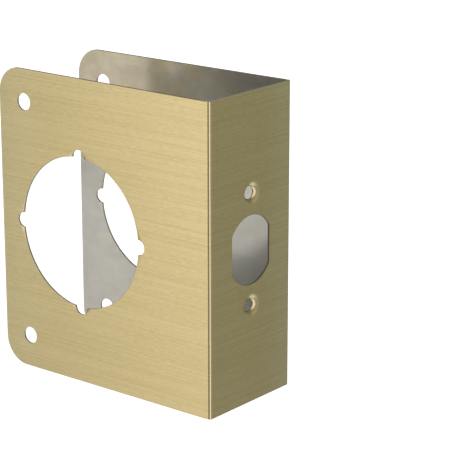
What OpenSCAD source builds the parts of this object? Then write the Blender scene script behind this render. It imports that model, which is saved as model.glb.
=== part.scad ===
// Door lock reinforcement plate: one steel sheet folded round the edge of a door.
// X runs from the cheeks' free edges to the spine, Y through the door, and Z up the door's edge.
// The origin is in the middle of the plate's box, at its lower edge.

/* [Door] */
// Thickness of the door, between the cheeks at the spine
door_t = 44.45; // [34:0.05:58]
// Distance from the door's edge to the axis of the lock's cross bore
backset = 60.3; // [52:0.1:64]

/* [Sheet] */
// Thickness of the sheet
sheet_t = 0.76; // [0.5:0.02:1.5]
// Inner radius of the two folds
fold_r = 0.4; // [0.2:0.1:2]
// Height of the plate
plate_h = 114.3; // [95:0.1:230]
// Length of the plate from the spine's outer face to the cheeks' free edges
plate_l = 100; // [98:0.5:140]
// Angle by which each cheek leans in, so that the plate grips the door
lean_in = 0.7; // [0:0.1:1.5]
// Radius of the free corners of the cheeks
corner_r = 10; // [2:0.5:20]

/* [Cross bore] */
// Diameter of the lock's hole through both cheeks
bore_d = 56.4; // [50:0.1:58]
// Diameter of the round notches in its rim
notch_d = 5.6; // [3:0.1:8]
// Number of notches in its rim
notch_count = 4; // [2:1:8]

/* [Cheek screws] */
// Diameter of the screw holes in the cheeks
screw_d = 6.35; // [4:0.05:8]
// Distance of these holes from the free edge and from the top and bottom edges
screw_inset = 12.3; // [10:0.1:16]

/* [Latch] */
// Diameter of the latch hole in the spine
latch_d = 25.4; // [20:0.1:28]
// Distance between the latch hole's two flat sides
latch_flats = 21.2; // [16:0.1:24]
// Distance between the two screw holes above and below the latch hole
face_screw_pitch = 41.3; // [40:0.1:56]
// Diameter of these screw holes
face_screw_d = 4.7; // [3:0.1:5.6]
// Diameter of the mouth of the pressed dimple round each of them
dimple_d = 9.7; // [9:0.1:11]
// Slope that the dimple's wall has curved down to at the hole, against the spine
dimple_slope = 55; // [25:1:60]

/* [Hidden] */

$fn = 96;
// Length by which a cutting tool runs past the sheet
past = 1;
// Width of the flat ring by which a dimple overlaps the spine round it
dimple_rim_w = 1;
// Width of the wall's square end that the screw hole trims off
dimple_trim = 0.12;

spine_w = door_t + 2 * sheet_t;
fold_outer_r = fold_r + sheet_t;
spine_face_x = plate_l / 2;
mid_z = plate_h / 2;
bore_x = spine_face_x - sheet_t - backset;
screw_x = screw_inset - plate_l / 2;
// Length of a cheek's flat, which puts its leaning free edge at the plate's full length
cheek_flat = (plate_l - fold_outer_r * (1 + sin(lean_in))) / cos(lean_in);
// Inner radius of a dimple's wall, which reaches the screw hole at any slope
dimple_r = ((dimple_d - face_screw_d) / 2 + dimple_trim) / sin(dimple_slope) - sheet_t;

// Section of a sheet's bend. The sheet comes along the X axis with its front at y = 0, and bends away
// from its front at x = 0. The polygon is the wedge that it turns through.
module bend(inner_r, angle) {
    outer_r = inner_r + sheet_t;
    reach = 2 * outer_r;
    translate([0, -outer_r])
        intersection() {
            difference() {
                circle(outer_r);
                circle(inner_r);
            }
            polygon([[0, 0], [0, reach], [-reach, reach], [-reach * sin(angle), reach * cos(angle)]]);
        }
}

// Section of a bend and of the straight leaf that it runs on into
module bent_leaf(inner_r, angle, leaf) {
    bend(inner_r, angle);
    translate([0, -inner_r - sheet_t])
        rotate(angle)
            translate([-leaf, inner_r])
                square([leaf, sheet_t]);
}

// Section through the folded sheet, seen from above
module plate_section() {
    flat_w = spine_w - 2 * fold_outer_r;
    translate([spine_face_x - sheet_t, -flat_w / 2])
        square([sheet_t, flat_w]);
    for (side = [0, 1])
        mirror([0, side])
            translate([spine_face_x, flat_w / 2])
                rotate(-90)
                    bent_leaf(fold_r, 90 + lean_in, cheek_flat);
}

// Places a tool on both cheeks. Its x = 0 lies at the fold, the free edge is at x = -cheek_flat,
// and y runs through the sheet to its outer face at y = fold_outer_r.
module on_cheeks() {
    for (side = [0, 1])
        mirror([0, side, 0])
            translate([spine_face_x - fold_outer_r, spine_w / 2 - fold_outer_r, 0])
                rotate([0, 0, lean_in])
                    children();
}

// What is cut away to round the lower free corner of a cheek
module corner_cutter() {
    block = corner_r + past;
    translate([corner_r - cheek_flat, 0, corner_r])
        difference() {
            translate([-block, 0, -block])
                cube([block, fold_outer_r + past, block]);
            rotate([-90, 0, 0])
                translate([0, 0, -past])
                    cylinder(r = corner_r, h = fold_outer_r + 3 * past);
        }
}

module free_corners() {
    for (end = [0, 1])
        translate([0, 0, end * plate_h])
            mirror([0, 0, end])
                on_cheeks()
                    corner_cutter();
}

// A hole straight through the door's thickness, so that it is in line in both cheeks
module door_hole(diameter) {
    rotate([90, 0, 0])
        cylinder(d = diameter, h = spine_w + 2 * past, center = true);
}

module cross_bore() {
    translate([bore_x, 0, mid_z]) {
        door_hole(bore_d);
        for (i = [0 : notch_count - 1])
            rotate([0, i * 360 / notch_count, 0])
                translate([bore_d / 2, 0, 0])
                    door_hole(notch_d);
    }
}

module cheek_screw_holes() {
    for (z = [screw_inset, plate_h - screw_inset])
        translate([screw_x, 0, z])
            door_hole(screw_d);
}

// Places a tool in the spine at a height from the plate's middle. Its z = 0 lies on the outer face,
// +Z points out of the door's edge, and +X points down.
module on_spine(height) {
    translate([spine_face_x, 0, mid_z + height])
        rotate([0, 90, 0])
            children();
}

module latch_hole() {
    on_spine(0)
        translate([0, 0, -sheet_t - past])
            linear_extrude(sheet_t + 2 * past)
                intersection() {
                    circle(d = latch_d);
                    square([latch_d + past, latch_flats], center = true);
                }
}

// Room for the dimple in the spine, out to the middle of its flat rim
module dimple_seat() {
    translate([0, 0, -sheet_t - past])
        cylinder(d = dimple_d + dimple_rim_w, h = sheet_t + 2 * past);
}

// Sheet pressed in round a screw hole: a flat rim and a wall that curves down to the hole
module dimple() {
    rotate_extrude()
        difference() {
            translate([dimple_d / 2, 0]) {
                translate([0, -sheet_t])
                    square([dimple_rim_w, sheet_t]);
                bend(dimple_r, dimple_slope);
            }
            translate([face_screw_d / 2 - dimple_d, -dimple_d])
                square([dimple_d, 2 * dimple_d]);
        }
}

module wrap_plate() {
    face_screws = [-face_screw_pitch / 2, face_screw_pitch / 2];
    color("darkkhaki") {
        difference() {
            linear_extrude(plate_h)
                plate_section();
            free_corners();
            cross_bore();
            cheek_screw_holes();
            latch_hole();
            for (height = face_screws)
                on_spine(height)
                    dimple_seat();
        }
        for (height = face_screws)
            on_spine(height)
                dimple();
    }
}

wrap_plate();
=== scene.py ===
"""A brushed door lock reinforcement plate, folded from one sheet of steel, on a pale studio floor.

Lengths are in metres and angles in degrees, unless a name says otherwise.
"""

import math

import bmesh
import bpy
from mathutils import Matrix, Vector


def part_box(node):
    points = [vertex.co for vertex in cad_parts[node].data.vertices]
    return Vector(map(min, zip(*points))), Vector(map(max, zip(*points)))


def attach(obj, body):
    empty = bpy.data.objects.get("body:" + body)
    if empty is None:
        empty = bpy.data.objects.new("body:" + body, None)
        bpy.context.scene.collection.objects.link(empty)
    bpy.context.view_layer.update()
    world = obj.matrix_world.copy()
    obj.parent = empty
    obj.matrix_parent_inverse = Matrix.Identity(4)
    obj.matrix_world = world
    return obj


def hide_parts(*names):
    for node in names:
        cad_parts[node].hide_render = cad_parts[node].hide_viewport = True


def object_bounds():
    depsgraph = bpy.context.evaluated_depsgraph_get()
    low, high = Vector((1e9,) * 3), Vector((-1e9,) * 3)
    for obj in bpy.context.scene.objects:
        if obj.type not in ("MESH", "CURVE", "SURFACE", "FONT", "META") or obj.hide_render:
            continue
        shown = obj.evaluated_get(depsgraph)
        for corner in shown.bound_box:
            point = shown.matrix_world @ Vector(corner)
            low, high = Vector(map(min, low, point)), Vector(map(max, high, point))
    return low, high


MM = 0.001

# The camera that the photograph was taken with
CAMERA_PLACE = Vector((0.4563, -0.5253, 0.2589))
CAMERA_AZIMUTH = 38.205
CAMERA_ELEVATION = 16.469
CAMERA_ROLL = 0.076
CAMERA_LENS_MM = 151.11
CAMERA_SENSOR_MM = 36.0
CAMERA_CLIP_START = 0.05
CAMERA_CLIP_END = 20.0

# The sheet that the plate is folded from
SHEET_T = 0.76 * MM
FOLD_OUTER_R = 1.16 * MM
LEAN_IN = 0.7
# How far the spine and its dimples reach inward from the axes of the folds
SPINE_REACH = 3 * FOLD_OUTER_R

# Rounding that shearing and punching leave on the sheet's edges
EDGE_ROUND = 0.12 * MM
EDGE_STEPS = 2
ROUND_PROFILE = 0.5
# An edge that turns by more than this is one of the sheet's cut edges
CUT_ANGLE = 50.0
# An edge that turns by more than this is shaded as sharp
SHADE_ANGLE = 60.0
# An edge that turns by less than this only divides a flat face
FLAT_ANGLE = 0.2
# Corners closer together than this are one
WELD_DISTANCE = 0.001 * MM
# How much large faces count for the shading, where 50 is even and 100 is most
LARGE_FACE_WEIGHT = 100

# Places of the plate's three finishes among its material slots
OUTSIDE = 0
INSIDE = 1
CUT_EDGE = 2
# Least share of a face's normal that points out of the sheet's front or back
SKIN_SHARE = 0.4

# Name of the coordinates that every point of the plate has on the flat sheet
SHEET_MAP = "sheet"
# Height of the relief that the bump stands for, before its strength
LINE_DEPTH = 0.02 * MM
# Turn from along the brushed lines to across them, in whole turns
QUARTER_TURN = 0.25

# Range that most of a noise keeps to
NOISE_LOW = 0.3
NOISE_HIGH = 0.7
# The same for a sum of several noises
SUM_LOW = 0.35
SUM_HIGH = 0.65
# How far a seed moves a noise along each axis
SEED_STEPS = (1.0, 1.7, 2.3)

FLOOR_HALF = 6.0
FLOOR_PAINT = (0.85, 0.85, 0.85, 1)
FLOOR_GLOW = 0.95
WHITE = (1.0, 1.0, 1.0)

# Numbers of a colour mix's sockets, whose names it has more than once
MIX_FIRST = 6
MIX_SECOND = 7
MIX_RESULT = 2


class Graph:
    """Builds one node tree. A number, a colour or another node's output may be given for any input."""

    def __init__(self, owner):
        owner.use_nodes = True
        self.tree = owner.node_tree
        self.tree.nodes.clear()

    def put(self, socket, value):
        if isinstance(value, bpy.types.NodeSocket):
            self.tree.links.new(value, socket)
        else:
            socket.default_value = value

    def node(self, kind, inputs, **settings):
        made = self.tree.nodes.new("ShaderNode" + kind)
        for name, value in settings.items():
            setattr(made, name, value)
        for name, value in inputs.items():
            self.put(made.inputs[name], value)
        return made

    def end(self, kind, surface):
        """Ends the tree in an output of this kind."""
        self.node(kind, {"Surface": surface})

    def calc(self, operation, *values):
        made = self.node("Math", dict(enumerate(values)), operation=operation)
        return made.outputs[0]

    def ramp(self, value, low, high, low_result=0.0, high_result=1.0):
        """Smooth step from one result to the other as the value goes from low to high."""
        made = self.node("MapRange", {
            "Value": value,
            "From Min": low,
            "From Max": high,
            "To Min": low_result,
            "To Max": high_result,
        }, interpolation_type="SMOOTHSTEP")
        return made.outputs["Result"]

    def band(self, value, rise_start, rise_end, fall_start, fall_end):
        """1 between two smooth steps, and 0 outside them."""
        return self.calc(
            "MULTIPLY",
            self.ramp(value, rise_start, rise_end),
            self.ramp(value, fall_start, fall_end, 1.0, 0.0),
        )

    def mix(self, share, first, second):
        """The first colour at a share of 0 and the second at 1."""
        inputs = {"Factor": share, MIX_FIRST: first, MIX_SECOND: second}
        made = self.node("Mix", inputs, data_type="RGBA")
        return made.outputs[MIX_RESULT]

    def scaled(self, colour, level):
        made = self.node("VectorMath", {0: colour, "Scale": level}, operation="SCALE")
        return made.outputs[0]

    def total(self, *colours):
        """Sum of colours."""
        result = colours[0]
        for colour in colours[1:]:
            result = self.node("VectorMath", {0: result, 1: colour}, operation="ADD").outputs[0]
        return result

    def weighted(self, *parts):
        """Sum of values, each given with its weight."""
        result = 0.0
        for value, weight in parts:
            result = self.calc("MULTIPLY_ADD", value, weight, result)
        return result

    def streaks(self, place, length, width, seed, detail=2.0):
        """Noise around 0.5 whose marks have this length and width. The seed picks their places."""
        stretch = (1 / length, 1 / width, 1.0)
        shift = tuple(seed * step for step in SEED_STEPS)
        stretched = self.node("VectorMath", {0: place, 1: stretch}, operation="MULTIPLY").outputs[0]
        moved = self.node("VectorMath", {0: stretched, 1: shift}, operation="ADD").outputs[0]
        made = self.node("TexNoise", {"Vector": moved, "Scale": 1.0, "Detail": detail})
        return made.outputs["Fac"]


def make_camera():
    """A camera where the photograph was taken from, looking the way it looked."""
    azimuth = math.radians(CAMERA_AZIMUTH)
    elevation = math.radians(CAMERA_ELEVATION)
    roll = math.radians(CAMERA_ROLL)
    ahead = Vector((
        -math.sin(azimuth) * math.cos(elevation),
        math.cos(azimuth) * math.cos(elevation),
        -math.sin(elevation),
    ))
    level_right = ahead.cross(Vector((0, 0, 1))).normalized()
    level_up = level_right.cross(ahead)
    right = level_right * math.cos(roll) + level_up * math.sin(roll)
    up = right.cross(ahead)
    turn = Matrix((right, up, -ahead)).transposed()
    data = bpy.data.cameras.new("camera")
    data.lens = CAMERA_LENS_MM
    data.sensor_width = CAMERA_SENSOR_MM
    data.clip_start = CAMERA_CLIP_START
    data.clip_end = CAMERA_CLIP_END
    camera = bpy.data.objects.new("camera", data)
    camera.matrix_world = Matrix.Translation(CAMERA_PLACE) @ turn.to_4x4()
    bpy.context.scene.collection.objects.link(camera)
    bpy.context.scene.camera = camera


class SheetMap:
    """Where a point of the folded plate lies on the flat sheet, and which way the sheet faces there."""

    def __init__(self, high):
        self.fold_x = high.x - FOLD_OUTER_R
        self.fold_y = high.y - FOLD_OUTER_R
        self.middle_r = FOLD_OUTER_R - SHEET_T / 2
        self.fold_length = math.radians(90 + LEAN_IN) * self.middle_r

    def past_fold(self, point):
        """How far a point lies beyond the axis of its fold, and whether it is on the spine."""
        past_x = point.x - self.fold_x
        past_y = abs(point.y) - self.fold_y
        on_spine = past_y <= 0 and past_x > -SPINE_REACH
        return past_x, past_y, on_spine

    def along(self, point):
        """Distance along the sheet from the spine's middle, above zero towards the far cheek."""
        side = math.copysign(1, point.y)
        past_x, past_y, on_spine = self.past_fold(point)
        if on_spine:
            return point.y
        if past_x > 0:
            return side * (self.fold_y + math.atan2(past_y, past_x) * self.middle_r)
        return side * (self.fold_y + self.fold_length - past_x)

    def facing(self, point):
        """The way that the outside of the sheet faces at a point."""
        side = math.copysign(1, point.y)
        past_x, past_y, on_spine = self.past_fold(point)
        if on_spine:
            return Vector((1, 0, 0))
        if past_x > 0:
            return Vector((past_x, side * past_y, 0)).normalized()
        return Vector((0, side, 0))

    def finish(self, face):
        """The finish of a face, from the side of the sheet that it is on."""
        outward = face.normal.dot(self.facing(face.calc_center_median()))
        if outward > SKIN_SHARE:
            return OUTSIDE
        if outward < -SKIN_SHARE:
            return INSIDE
        return CUT_EDGE


def make_plate(node):
    """The plate's sheet with rounded cut edges, the flat sheet's coordinates and its three finishes."""
    _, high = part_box(node)
    sheet = SheetMap(high)
    form = bmesh.new()
    form.from_mesh(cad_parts[node].data)
    bmesh.ops.remove_doubles(form, verts=form.verts, dist=WELD_DISTANCE)
    flat = math.radians(FLAT_ANGLE)
    bmesh.ops.dissolve_limit(form, angle_limit=flat, verts=form.verts, edges=form.edges)
    for face in form.faces:
        face.material_index = sheet.finish(face)
    cut = math.radians(CUT_ANGLE)
    cut_edges = [edge for edge in form.edges if edge.calc_face_angle(0) > cut]
    bmesh.ops.bevel(
        form,
        geom=cut_edges,
        offset=EDGE_ROUND,
        segments=EDGE_STEPS,
        profile=ROUND_PROFILE,
        affect="EDGES",
        clamp_overlap=False,
        material=CUT_EDGE,
    )
    bmesh.ops.triangulate(form, faces=form.faces)
    layer = form.loops.layers.uv.new(SHEET_MAP)
    for face in form.faces:
        face.smooth = True
        for loop in face.loops:
            loop[layer].uv = (sheet.along(loop.vert.co), loop.vert.co.z)
    mesh = bpy.data.meshes.new("folded_plate")
    form.to_mesh(mesh)
    form.free()
    mesh.set_sharp_from_angle(angle=math.radians(SHADE_ANGLE))
    piece = bpy.data.objects.new("folded_plate", mesh)
    bpy.context.scene.collection.objects.link(piece)
    even = piece.modifiers.new("flat_faces_stay_flat", "WEIGHTED_NORMAL")
    even.mode = "FACE_AREA"
    even.weight = LARGE_FACE_WEIGHT
    even.keep_sharp = True
    return piece


def end_in_metal(graph, colour, roughness, gloss):
    """Ends a material in metal, with further inputs for its gloss."""
    inputs = {"Base Color": colour, "Metallic": 1.0, "Roughness": roughness}
    inputs.update(gloss)
    shader = graph.node("BsdfPrincipled", inputs)
    graph.end("OutputMaterial", shader.outputs["BSDF"])


def drawn_gloss(graph, lines, stretch, strength):
    """Gloss that is drawn out across the sheet's lines, and a shallow relief of the lines."""
    tangent = graph.node("Tangent", {}, direction_type="UV_MAP", uv_map=SHEET_MAP)
    bump = graph.node("Bump", {"Strength": strength, "Distance": LINE_DEPTH, "Height": lines})
    return {
        "Anisotropic": stretch,
        "Anisotropic Rotation": QUARTER_TURN,
        "Tangent": tangent.outputs["Tangent"],
        "Normal": bump.outputs["Normal"],
    }


def sheet_place(graph):
    """A point's place on the flat sheet, its distance along it and its height."""
    place = graph.node("UVMap", {}, uv_map=SHEET_MAP).outputs["UV"]
    along, height, _ = graph.node("SeparateXYZ", {"Vector": place}).outputs
    return place, along, height


def brushed_brass():
    """Brass finish brushed along the sheet in lines of three lengths, with slow changes of tone.

    Around the fold to the far cheek it is paler and cooler, a painted glow of the bright surroundings,
    and it takes the same paler tone towards both free edges.
    """
    material = bpy.data.materials.new("brushed_brass")
    graph = Graph(material)
    place, along, _ = sheet_place(graph)
    short = graph.streaks(place, 2.5 * MM, 0.15 * MM, 3.1, detail=0.0)
    middle = graph.streaks(place, 30 * MM, 0.3 * MM, 7.7, detail=0.0)
    long = graph.streaks(place, 220 * MM, 0.35 * MM, 15.9, detail=0.0)
    broad = graph.streaks(place, 50 * MM, 5 * MM, 18.6)
    lines = graph.weighted((short, 0.48), (middle, 0.25), (long, 0.27))
    tone = graph.ramp(graph.weighted((lines, 0.88), (broad, 0.12)), NOISE_LOW, NOISE_HIGH)
    full = graph.mix(tone, (0.70, 0.586, 0.303, 1), (0.85, 0.721, 0.412, 1))
    # The paler tone is a painted glow of the bright surroundings around the fold to the far cheek, and
    # the same paler tone towards both free edges
    paler_tone_and_glow = graph.mix(tone, (0.73, 0.65, 0.371, 1), (0.885, 0.80, 0.504, 1))
    painted_glow_by_fold = graph.band(along, 4 * MM, 22 * MM, 24 * MM, 60 * MM)
    by_free_edges = graph.ramp(graph.calc("ABSOLUTE", along), 92 * MM, 124 * MM, 0.0, 0.7)
    colour = graph.mix(graph.calc("ADD", painted_glow_by_fold, by_free_edges), full, paler_tone_and_glow)
    roughness = graph.ramp(lines, NOISE_LOW, NOISE_HIGH, 0.335, 0.305)
    end_in_metal(graph, colour, roughness, drawn_gloss(graph, lines, stretch=0.75, strength=0.15))
    return material


def mill_steel():
    """Bare rolled steel with slight stains and rolling lines.

    It is warmer at the upper free corners. Painted shade darkens it at the top by the spine, and
    painted light brightens it below and in a band at middle height by the spine.
    """
    material = bpy.data.materials.new("mill_steel")
    graph = Graph(material)
    place, along, height = sheet_place(graph)
    from_middle = graph.calc("ABSOLUTE", along)

    lines = graph.streaks(place, 10 * MM, 0.8 * MM, 21.3)
    stains = graph.streaks(place, 4.5 * MM, 3 * MM, 31.9)
    clouds = graph.streaks(place, 14 * MM, 10 * MM, 52.2)
    tone = graph.weighted((lines, 0.15), (stains, 0.4), (clouds, 0.45))
    around_zero = graph.ramp(tone, SUM_LOW, SUM_HIGH, -0.5, 0.5)
    contrast = graph.ramp(height, 65 * MM, 92 * MM, 0.5, 1.0)
    tone_share = graph.calc("MULTIPLY_ADD", around_zero, contrast, 0.5)
    cool = graph.mix(tone_share, (0.425, 0.425, 0.41, 1), (0.53, 0.53, 0.505, 1))
    warm = graph.mix(tone_share, (0.485, 0.445, 0.35, 1), (0.60, 0.55, 0.435, 1))

    at_corner = graph.calc(
        "MULTIPLY",
        graph.ramp(from_middle, 45 * MM, 95 * MM, 0.2, 1.0),
        graph.ramp(height, 80 * MM, 106 * MM),
    )
    blush = graph.streaks(place, 6 * MM, 8 * MM, 63.5)
    warmth = graph.calc("ADD", at_corner, graph.ramp(blush, SUM_LOW, SUM_HIGH, -0.3, 0.3))
    unshaded_steel = graph.mix(graph.ramp(warmth, 0.0, 1.0), cool, warm)

    # Painted shade at the top by the spine; painted light below, stronger away from the spine, and in a
    # band at middle height by the spine
    plain_level = 0.98
    painted_light_gain = 0.22
    by_spine = graph.ramp(from_middle, 30 * MM, 64 * MM, 1.0, 0.0)
    top_by_spine_shaded = graph.calc("MULTIPLY", by_spine, graph.ramp(height, 76 * MM, 94 * MM))
    painted_shade_at_top = graph.ramp(top_by_spine_shaded, 0.0, 1.0, 1.0, 0.84)
    middle_height = graph.band(height, 62 * MM, 68 * MM, 72 * MM, 82 * MM)
    painted_light_by_spine = graph.calc("MULTIPLY", by_spine, middle_height)
    painted_light_below = graph.calc(
        "MULTIPLY",
        graph.ramp(height, 44 * MM, 66 * MM, 1.0, 0.0),
        graph.ramp(from_middle, 40 * MM, 70 * MM, 0.03, 0.17),
    )
    painted_light = graph.calc("MULTIPLY_ADD", painted_light_by_spine, painted_light_gain, painted_light_below)
    painted_light_and_shade = graph.calc("MULTIPLY", painted_shade_at_top, graph.calc("ADD", painted_light, plain_level))
    colour = graph.scaled(unshaded_steel, painted_light_and_shade)

    grain = graph.streaks(place, 0.08 * MM, 0.08 * MM, 71.7, detail=0.0)
    roughness = graph.ramp(grain, 0.35, 0.6, 0.5, 0.16)
    end_in_metal(graph, colour, roughness, drawn_gloss(graph, lines, stretch=0.4, strength=0.06))
    return material


def sheared_steel(low, high):
    """The sheet's cut edges, pale at the spine's ends and bright in the cheeks' holes. In the spine's
    holes and along the cheeks' top and bottom edges a painted shade makes them dull.
    """
    material = bpy.data.materials.new("sheared_steel")
    graph = Graph(material)
    place = graph.node("TexCoord", {}).outputs["Object"]
    x, _, height = graph.node("SeparateXYZ", {"Vector": place}).outputs
    marks = graph.streaks(place, 0.3 * MM, 0.3 * MM, 41.5)
    mark_share = graph.ramp(marks, NOISE_LOW, NOISE_HIGH)
    bright = graph.mix(mark_share, (0.56, 0.50, 0.38, 1), (0.72, 0.66, 0.52, 1))
    # Painted shade: the darker colour of the cut edges in the spine's holes and along the cheeks' top
    # and bottom edges
    painted_shade_dull = graph.mix(mark_share, (0.27, 0.235, 0.17, 1), (0.37, 0.33, 0.25, 1))
    pale = (0.93, 0.89, 0.76, 1)

    in_spine = graph.ramp(x, high.x - 3 * SHEET_T, high.x - 2 * SHEET_T)
    at_end = graph.calc(
        "MAXIMUM",
        graph.ramp(height, low.z + SHEET_T, low.z + 2 * SHEET_T, 1.0, 0.0),
        graph.ramp(height, high.z - 2 * SHEET_T, high.z - SHEET_T),
    )
    painted_shade_share = graph.calc("ABSOLUTE", graph.calc("SUBTRACT", in_spine, at_end))
    both = graph.calc("MULTIPLY", in_spine, at_end)
    colour = graph.mix(both, graph.mix(painted_shade_share, bright, painted_shade_dull), pale)
    roughness = graph.ramp(marks, NOISE_LOW, NOISE_HIGH, 0.5, 0.36)
    end_in_metal(graph, colour, roughness, {})
    return material


def make_floor():
    """A plain pale floor, bright enough to run out of the picture's range."""
    mesh = bpy.data.meshes.new("floor")
    corners = [
        (-FLOOR_HALF, -FLOOR_HALF, 0),
        (FLOOR_HALF, -FLOOR_HALF, 0),
        (FLOOR_HALF, FLOOR_HALF, 0),
        (-FLOOR_HALF, FLOOR_HALF, 0),
    ]
    mesh.from_pydata(corners, [], [(0, 1, 2, 3)])
    floor = bpy.data.objects.new("floor", mesh)
    bpy.context.scene.collection.objects.link(floor)
    material = bpy.data.materials.new("pale_floor")
    graph = Graph(material)
    paint = graph.node("BsdfDiffuse", {"Color": FLOOR_PAINT})
    glow = graph.node("Emission", {"Color": (*WHITE, 1), "Strength": FLOOR_GLOW})
    lit_paint = graph.node("AddShader", {0: paint.outputs[0], 1: glow.outputs[0]})
    graph.end("OutputMaterial", lit_paint.outputs[0])
    mesh.materials.append(material)
    floor.visible_glossy = False
    floor.visible_diffuse = False


def make_studio():
    """Soft light from panels all round and from a pale floor below. The camera itself sees only white.

    The azimuth is 0 on the near cheek's side, and grows towards the spine's side.
    """
    world = bpy.data.worlds.new("studio")
    graph = Graph(world)
    direction = graph.node("TexCoord", {}).outputs["Generated"]
    x, y, z = graph.node("SeparateXYZ", {"Vector": direction}).outputs
    to_degrees = math.degrees(1)
    turned = graph.calc("ARCTAN2", x, graph.calc("MULTIPLY", y, -1.0))
    azimuth = graph.calc("MULTIPLY", turned, to_degrees)
    elevation = graph.calc("MULTIPLY", graph.calc("ARCSINE", z), to_degrees)

    def panel(start, end, soft_start, soft_end, level, tint):
        """Light between two azimuths. Each border is soft by so many degrees on either side."""
        rise = (start - soft_start, start + soft_start)
        fall = (end - soft_end, end + soft_end)
        share = graph.band(azimuth, *rise, *fall)
        return graph.scaled(tint, graph.calc("MULTIPLY", share, level))

    back = graph.ramp(graph.calc("ABSOLUTE", azimuth), 95.0, 125.0)
    front = graph.calc("SUBTRACT", 1.0, back)

    left = panel(-130.0, -14.0, 15.0, 6.0, 0.22, (1.0, 1.0, 0.92))
    left_front = panel(-45.0, -22.0, 5.0, 12.0, 1.05, (1.0, 0.96, 0.91))
    left_back = panel(-165.0, -115.0, 10.0, 12.0, 1.3, (1.0, 0.97, 0.92))
    left_back_height = graph.band(elevation, -24.0, -10.0, -8.0, 6.0)
    middle = panel(-14.0, 50.0, 8.0, 15.0, 0.15, WHITE)
    high_front = panel(-40.0, 80.0, 20.0, 20.0, 0.55, WHITE)
    high_front_height = graph.ramp(elevation, 5.0, 35.0)
    right_front = panel(45.0, 78.0, 15.0, 20.0, 1.9, (1.0, 1.0, 1.12))
    right_front_height = graph.ramp(elevation, -50.0, 20.0, 1.3, 0.45)
    right = panel(80.0, 130.0, 15.0, 12.0, 0.2, WHITE)

    front_floor_height = graph.ramp(elevation, -62.0, -42.0, 1.0, 0.0)
    front_floor = graph.scaled((1.1, 1.1, 1.1), graph.calc("MULTIPLY", front, front_floor_height))
    back_sky_height = graph.ramp(elevation, -8.0, 30.0, 1.0, 0.3)
    back_sky = graph.scaled((0.216, 0.24, 0.212), graph.calc("MULTIPLY", back, back_sky_height))
    back_floor_height = graph.band(elevation, -72.0, -52.0, -46.0, -28.0)
    back_floor = graph.scaled((1.65, 1.75, 2.1), graph.calc("MULTIPLY", back, back_floor_height))
    everywhere = graph.scaled((1.0, 0.88, 0.7), 0.12)

    round_about = graph.total(
        left,
        graph.scaled(left_back, left_back_height),
        left_front,
        middle,
        graph.scaled(high_front, high_front_height),
        graph.scaled(right_front, right_front_height),
        right,
        front_floor,
        back_sky,
        back_floor,
        everywhere,
    )
    upright = graph.calc(
        "MULTIPLY",
        graph.ramp(elevation, -36.0, -4.0, 0.5, 1.0),
        graph.ramp(elevation, 25.0, 70.0, 1.0, 0.35),
    )
    light = graph.scaled(round_about, upright)
    seen = graph.node("LightPath", {}).outputs["Is Camera Ray"]
    colour = graph.mix(seen, light, (*WHITE, 1))
    background = graph.node("Background", {"Color": colour, "Strength": 1.0})
    graph.end("OutputWorld", background.outputs[0])
    bpy.context.scene.world = world


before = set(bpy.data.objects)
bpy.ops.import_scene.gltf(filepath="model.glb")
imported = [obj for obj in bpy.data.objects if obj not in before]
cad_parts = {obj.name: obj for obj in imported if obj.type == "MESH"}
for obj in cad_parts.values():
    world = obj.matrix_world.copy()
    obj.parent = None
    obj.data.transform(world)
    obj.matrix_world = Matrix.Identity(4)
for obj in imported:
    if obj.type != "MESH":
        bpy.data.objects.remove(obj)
cad_low, cad_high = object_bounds()

make_camera()
make_studio()
make_floor()

plate = make_plate("wrap_plate")
for finish in (brushed_brass(), mill_steel(), sheared_steel(cad_low, cad_high)):
    plate.data.materials.append(finish)
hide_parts("wrap_plate")
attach(plate, "root")

bpy.context.scene.view_settings.view_transform = "Standard"
